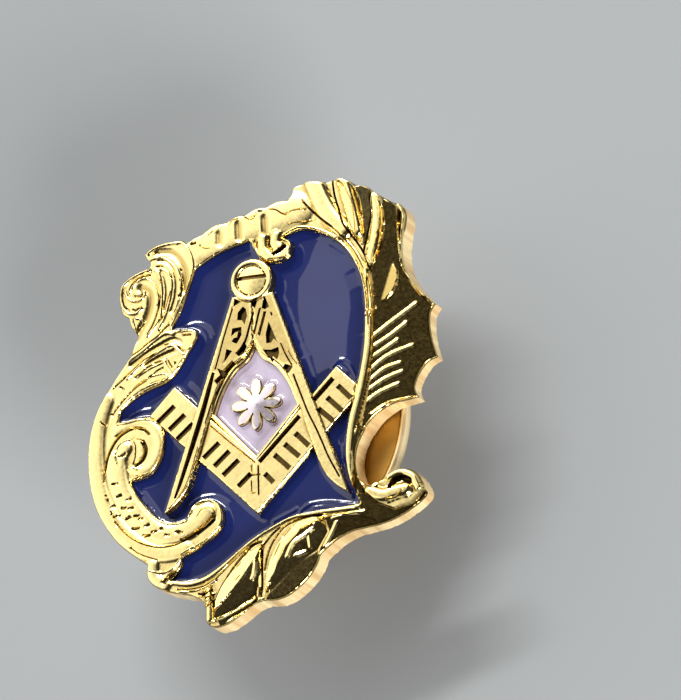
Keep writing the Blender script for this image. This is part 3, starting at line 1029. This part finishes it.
def islands(faces, count):
    """The number of the connected island that each corner belongs to."""
    name = np.arange(count)
    while True:
        after = name.copy()
        for corner in faces.T:
            np.minimum.at(after, corner, name[faces].min(1))
        after = after[after]
        if (after == name).all():
            return name
        name = after


def glass_piece(name, plan, faces, heights):
    """A closed body of enamel: its top, a skirt at each edge, and its underside."""
    used, faces = np.unique(faces, return_inverse=True)
    faces = faces.reshape(-1, 3)
    count = len(used)
    skirts = [face for run in rims_of(faces) for face in skirt(run, [corner + count for corner in run])]
    verts = np.vstack([lifted(plan[used], heights[used]), lifted(plan[used], floor_z + piece_gap)])
    piece = mesh_piece(name, verts, faces.tolist() + skirts + (faces[:, ::-1] + count).tolist())
    smooth_except(piece, 40)
    return piece


def enamel_material(name, colour, light):
    """Glossy enamel: opaque glass, with faint clouds in its colour and a clear polished surface."""
    cloud_mm = 1.5
    material, tree = new_material(name)
    place = add(tree, "ShaderNodeTexCoord")
    clouds = add(tree, "ShaderNodeTexNoise", {"Scale": 1 / (cloud_mm * MM), "Detail": 3.0},
                 {"Vector": (place, "Object")})
    tint = add(tree, "ShaderNodeMix", {6: linear(colour), 7: linear(light)}, {0: (clouds, "Fac")},
               data_type="RGBA")
    skin = add(tree, "ShaderNodeBsdfPrincipled", {"Roughness": 0.06, "IOR": 1.52},
               {"Base Color": (tint, 2)})
    add(tree, "ShaderNodeOutputMaterial", links={"Surface": (skin, "BSDF")})
    return material


def onto(points, loop):
    """Each point's nearest place on a closed outline, or the point where it is inside."""
    found = points.copy()
    least = np.where(inside(points, loop), -1, 1e9)
    for a, b in sides(loop):
        t = np.clip((points - a) @ (b - a) / ((b - a) @ (b - a)), 0, 1)
        spot = a + t[:, None] * (b - a)
        gap = np.linalg.norm(points - spot, axis=1)
        closer = gap < least
        least[closer] = gap[closer]
        found[closer] = spot[closer]
    return found


welt_lines = [beside_line(curve(welt, 0.05), step * welt_half) for welt in WELTS
              for step in (-1, -0.85, -0.15, 0, 0.15, 0.85, 1)]
glass, glass_faces, edges, sunk = glass_sheet(((-6.2, -6.5), (4.7, 7.3)), field, emblem_loops, welt_lines,
                                              navy_sag, navy_meniscus)
to_upper_left = np.full(len(glass), climb_reach)
for step in np.arange(climb_reach, 0, -climb_reach / 8):
    to_upper_left[~between(glass - step * downhill, edges[0], edges[1:])] = step
climbed = climb * (1 - relaxed(glass_faces, to_upper_left, 2) / climb_reach)
settled = onto(glass, np.array(SETTLED))
fallen = np.where((glass > zone_corner).all(1),
                  (settled - zone_heart) @ downhill * zone_rise - (glass - settled) @ downhill * zone_fall
                  - zone_sink, -(glass @ downhill - level_way) * glass_fall)
welted = sum(bands(glass, [(welt_half, welt_rise, welt)], welt_power) for welt in WELTS)
top_of_glass = face_z - enamel_top - sunk + fallen + climbed + welted
navy = enamel_material("fired_navy_enamel", "#141B4A", "#19245C")
island = islands(glass_faces, len(glass))[glass_faces[:, 0]]
heart = glass[glass_faces].mean(1)


def island_at(spot):
    """The island of the triangle nearest to a place."""
    return island[np.argmin(np.linalg.norm(heart - spot, axis=1))]


# The small cell beside the right leg meets the lower one in a narrow channel at the leg's tip, where
# their enamels are parted
leg_top, leg_tip = np.array([LEG[1][0], LEG[2][0]]) + [emblem_x, 0]
way, off = leg_tip - leg_top, heart - leg_top
beside_leg = (way[0] * off[:, 1] > way[1] * off[:, 0]) & (heart[:, 1] > leg_tip[1] + channel_up)
island[beside_leg & (island == island_at(CELLS["enamel_lower_right"][0]))] = -1
for cell, seeds in CELLS.items():
    mine = np.isin(island, [island_at(seed) for seed in seeds])
    piece = glass_piece("fired_" + cell, glass, glass_faces[mine], top_of_glass)
    piece.data.materials.append(navy)
    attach(piece, "root")
    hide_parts(cell)

glass, glass_faces, _, sunk = glass_sheet(((-2, -1.8), (1.8, 2.9)), centre_cell, [rosette], [],
                                          lilac_sag, lilac_meniscus)
piece = glass_piece("fired_enamel_centre", glass, glass_faces, face_z - enamel_top - sunk)
piece.data.materials.append(enamel_material("fired_lilac_enamel", "#AFA2B9", "#BDB1C6"))
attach(piece, "root")
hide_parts("enamel_centre")

# Clutch. A disc of thin brass with a rolled rim and pressed rings, a drawn hub that holds the spring,
# and two wings folded back from it to be squeezed together. It is lacquered a warm amber.
disc_z = back_z - seat_gap
clutch_r = (clutch_high.x - clutch_low.x) / 2 / MM
bore_r = post_r + 0.08
hub_r = 2.3
ring_radii = (1.9, 3.9)
# Steps in from the disc's edge and down from its face, round the rolled rim
RIM = [(0.33, 0.07), (0.27, 0.02), (0.2, 0), (0.12, 0.02), (0.06, 0.07), (0.02, 0.15), (0, 0.25), (0, 0.35),
       (0.02, 0.45), (0.08, 0.53), (0.2, 0.58), (0.35, 0.6), (0.5, 0.57), (0.7, 0.5)]
# Steps out from a pressed ring's middle and down from the disc's face
PRESSED = [(-0.3, 0.07), (-0.12, 0.02), (0.12, 0.02), (0.3, 0.07)]
# Columns: radius, height.
FACE = [(0, 0.5), (bore_r, 0.5), (bore_r, disc_z - 0.16), (bore_r + 0.1, disc_z - 0.08)]
FACE += [(ring_r + out, disc_z - down) for ring_r in ring_radii for out, down in PRESSED]
FACE += [(clutch_r - into, disc_z - down) for into, down in RIM]
HUB = [(hub_r + 0.25, disc_z - 0.5), (hub_r + 0.06, disc_z - 0.6), (hub_r, disc_z - 0.8), (hub_r, 3.3),
       (hub_r - 0.07, 3.2), (hub_r - 0.07, 3.0), (hub_r, 2.9), (hub_r, 0.4), (hub_r - 0.06, 0.16),
       (hub_r - 0.2, 0.03), (hub_r - 0.4, 0), (1.1, 0), (0.9, 0.06), (0, 0.06)]
bend_x = 6.25
bend_z = disc_z - 0.6
bend_r = 4.25
wing_half = 2.0
wing_thin = 0.225
wing_round = 0.12
wing_turn = 60
tip_round = 0.9


def wing_rows(turn):
    """Rows of corners of a strip bent down and outwards from the hub, with rounded edges and tip."""
    thin, soft = wing_thin, wing_round
    cross = [(-1, thin - soft), (-1 + soft / 2, thin), (1 - soft / 2, thin), (1, thin - soft),
             (1, soft - thin), (1 - soft / 2, -thin), (-1 + soft / 2, -thin), (-1, soft - thin)]
    sweep = np.radians(np.linspace(2, 68, 28))
    rows = []
    for angle in sweep:
        to_tip = (bend_r - thin) * (sweep[-1] - angle)
        half = wing_half - max(0, 1 - to_tip) ** 2 * tip_round
        radii = [bend_r - thin + out for _, out in cross]
        rows.append([(bend_x - r * math.cos(angle), across * half, bend_z - r * math.sin(angle))
                     for r, (across, _) in zip(radii, cross)])
    return [np.array(row) @ np.array(Matrix.Rotation(turn, 3, "Z")).T for row in rows]


# Lacquered brass: warm amber with soft scuffs under a clear coat, rubbed bright round its edge
brass_dark = "#A37424"
brass_light = "#B98B33"
brass_rubbed = "#FBE3B0"
scuff_mm = 0.5
rubbed_from = 0.28
rubbed_to = 0.2
brass, tree = new_material("lacquered_pressed_brass")
place = add(tree, "ShaderNodeTexCoord")
scuffs = add(tree, "ShaderNodeTexNoise", {"Scale": 1 / (scuff_mm * MM), "Detail": 4.0},
             {"Vector": (place, "Object")})
tint = add(tree, "ShaderNodeMix", {6: linear(brass_dark), 7: linear(brass_light)}, {0: (scuffs, "Fac")},
           data_type="RGBA")
flat = add(tree, "ShaderNodeMapping", {"Scale": (1, 1, 0)}, {"Vector": (place, "Object")})
radius = add(tree, "ShaderNodeVectorMath", links={0: (flat, "Vector")}, operation="LENGTH")
rubbed = add(tree, "ShaderNodeMapRange",
             {"From Min": (clutch_r - rubbed_from) * MM, "From Max": (clutch_r - rubbed_to) * MM},
             {"Value": (radius, "Value")})
tint = add(tree, "ShaderNodeMix", {7: linear(brass_rubbed)}, {0: (rubbed, "Result"), 6: (tint, 2)},
           data_type="RGBA")
bump = add(tree, "ShaderNodeBump", {"Strength": 0.1, "Distance": 0.02 * MM}, {"Height": (scuffs, "Fac")})
skin = add(tree, "ShaderNodeBsdfPrincipled",
           {"Metallic": 0.6, "Roughness": 0.3, "Coat Weight": 0.3, "Coat Roughness": 0.08},
           {"Base Color": (tint, 2), "Normal": (bump, "Normal")})
add(tree, "ShaderNodeOutputMaterial", links={"Surface": (skin, "BSDF")})
cup = swept("clutch_cup", lathed(FACE + HUB, 96), 35)
wings = [swept(name, wing_rows(math.radians(wing_turn + turn)), 35)
         for name, turn in (("clutch_wing_a", 0), ("clutch_wing_b", 180))]
for piece in [cup] + wings:
    piece.data.materials.append(brass)
    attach(piece, "root")
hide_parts("clutch")

# Studio: a pale floor, a broad soft light over the upper left, and a dim surround that darkens to
# the lower right, so that polished metal shows which way each face is turned.
floor_half = 600
floor_corners = [(-floor_half, -floor_half, 0), (floor_half, -floor_half, 0),
                 (floor_half, floor_half, 0), (-floor_half, floor_half, 0)]
floor = mesh_piece("studio_floor", floor_corners, [(0, 1, 2, 3)])
paper, tree = new_material("matt_grey_paper")
skin = add(tree, "ShaderNodeBsdfPrincipled", {"Base Color": linear("#949799"), "Roughness": 0.9})
add(tree, "ShaderNodeOutputMaterial", links={"Surface": (skin, "BSDF")})
floor.data.materials.append(paper)

# The bright half of the surround ends softly, and is dimmer low down. A round flag keeps it off the
# flat enamel, and a low band of it goes all round.
bright = (1.7, 1.68, 1.64, 1)
dim = (0.022, 0.019, 0.014, 1)
to_bright = (-0.707, 0.707, 0)
to_flag = (-0.253, 0.215, 0.943)
world = bpy.data.worlds.new("studio_surround")
world.use_nodes = True
bpy.context.scene.world = world
tree = world.node_tree
tree.nodes.clear()
place = add(tree, "ShaderNodeTexCoord")
toward = add(tree, "ShaderNodeVectorMath", {1: to_bright}, {0: (place, "Generated")}, operation="DOT_PRODUCT")
above = add(tree, "ShaderNodeSeparateXYZ", links={0: (place, "Generated")})
off_flag = add(tree, "ShaderNodeVectorMath", {1: to_flag}, {0: (place, "Generated")}, operation="DOT_PRODUCT")
rise = add(tree, "ShaderNodeMapRange", {"From Min": 0.2, "From Max": 0.3}, {"Value": (toward, "Value")},
           interpolation_type="SMOOTHSTEP")
fall = add(tree, "ShaderNodeMapRange", {"From Min": 0.0, "From Max": 0.5, "To Min": 0.7, "To Max": 1.0},
           {"Value": (above, "Z")})
flag = add(tree, "ShaderNodeMapRange", {"From Min": 0.989, "From Max": 0.9925, "To Min": 1.0, "To Max": 0.2},
           {"Value": (off_flag, "Value")}, interpolation_type="SMOOTHSTEP")
lit = add(tree, "ShaderNodeMath", {}, {0: (rise, "Result"), 1: (fall, "Result")}, operation="MULTIPLY")
lit = add(tree, "ShaderNodeMath", {}, {0: (lit, "Value"), 1: (flag, "Result")}, operation="MULTIPLY")
low = add(tree, "ShaderNodeMapRange", {"From Min": 0.05, "From Max": 0.3, "To Min": 0.5, "To Max": 0.0},
          {"Value": (above, "Z")}, interpolation_type="SMOOTHSTEP")
lit = add(tree, "ShaderNodeMath", {}, {0: (lit, "Value"), 1: (low, "Result")}, operation="MAXIMUM")
sky = add(tree, "ShaderNodeMix", {6: dim, 7: bright}, {0: (lit, "Value")}, data_type="RGBA")
glow = add(tree, "ShaderNodeBackground", {"Strength": 1.0}, {"Color": (sky, 2)})
add(tree, "ShaderNodeOutputWorld", links={"Surface": (glow, "Background")})

# Lamps that face the badge. Columns: name, place, width, height, power.
LAMPS = [("strip_lamp", (-0.084, 0.337, 0.427), 0.3, 0.045, 2.0),
         ("fill_lamp", (0.38, -0.43, 0.25), 0.25, 0.25, 5.0)]
for name, place, wide, high, power in LAMPS:
    light = bpy.data.lights.new(name, "AREA")
    light.shape = "RECTANGLE"
    light.size = wide
    light.size_y = high
    light.energy = power
    lamp = bpy.data.objects.new(name, light)
    bpy.context.scene.collection.objects.link(lamp)
    lamp.location = place
    lamp.rotation_euler = (-lamp.location).to_track_quat("-Z", "Y").to_euler()

# Camera at the photograph's angle to the badge's face
aim = Vector((3.407, 2.137, 6.3)) * MM
camera_far = 219.46 * MM
azimuth, elevation, roll = math.radians(49.7), math.radians(63.6), math.radians(-54.0)
turned = (Matrix.Rotation(azimuth, 3, "Z") @ Matrix.Rotation(math.pi / 2 - elevation, 3, "X")
          @ Matrix.Rotation(roll, 3, "Z"))
camera_data = bpy.data.cameras.new("camera")
camera_data.lens = 302.38
camera_data.sensor_fit = "HORIZONTAL"
camera_data.sensor_width = 36
camera_data.clip_start = 0.01
camera = bpy.data.objects.new("camera", camera_data)
bpy.context.scene.collection.objects.link(camera)
camera.matrix_world = Matrix.Translation(aim + turned.col[2] * camera_far) @ turned.to_4x4()
bpy.context.scene.camera = camera
bpy.context.scene.view_settings.view_transform = "Standard"
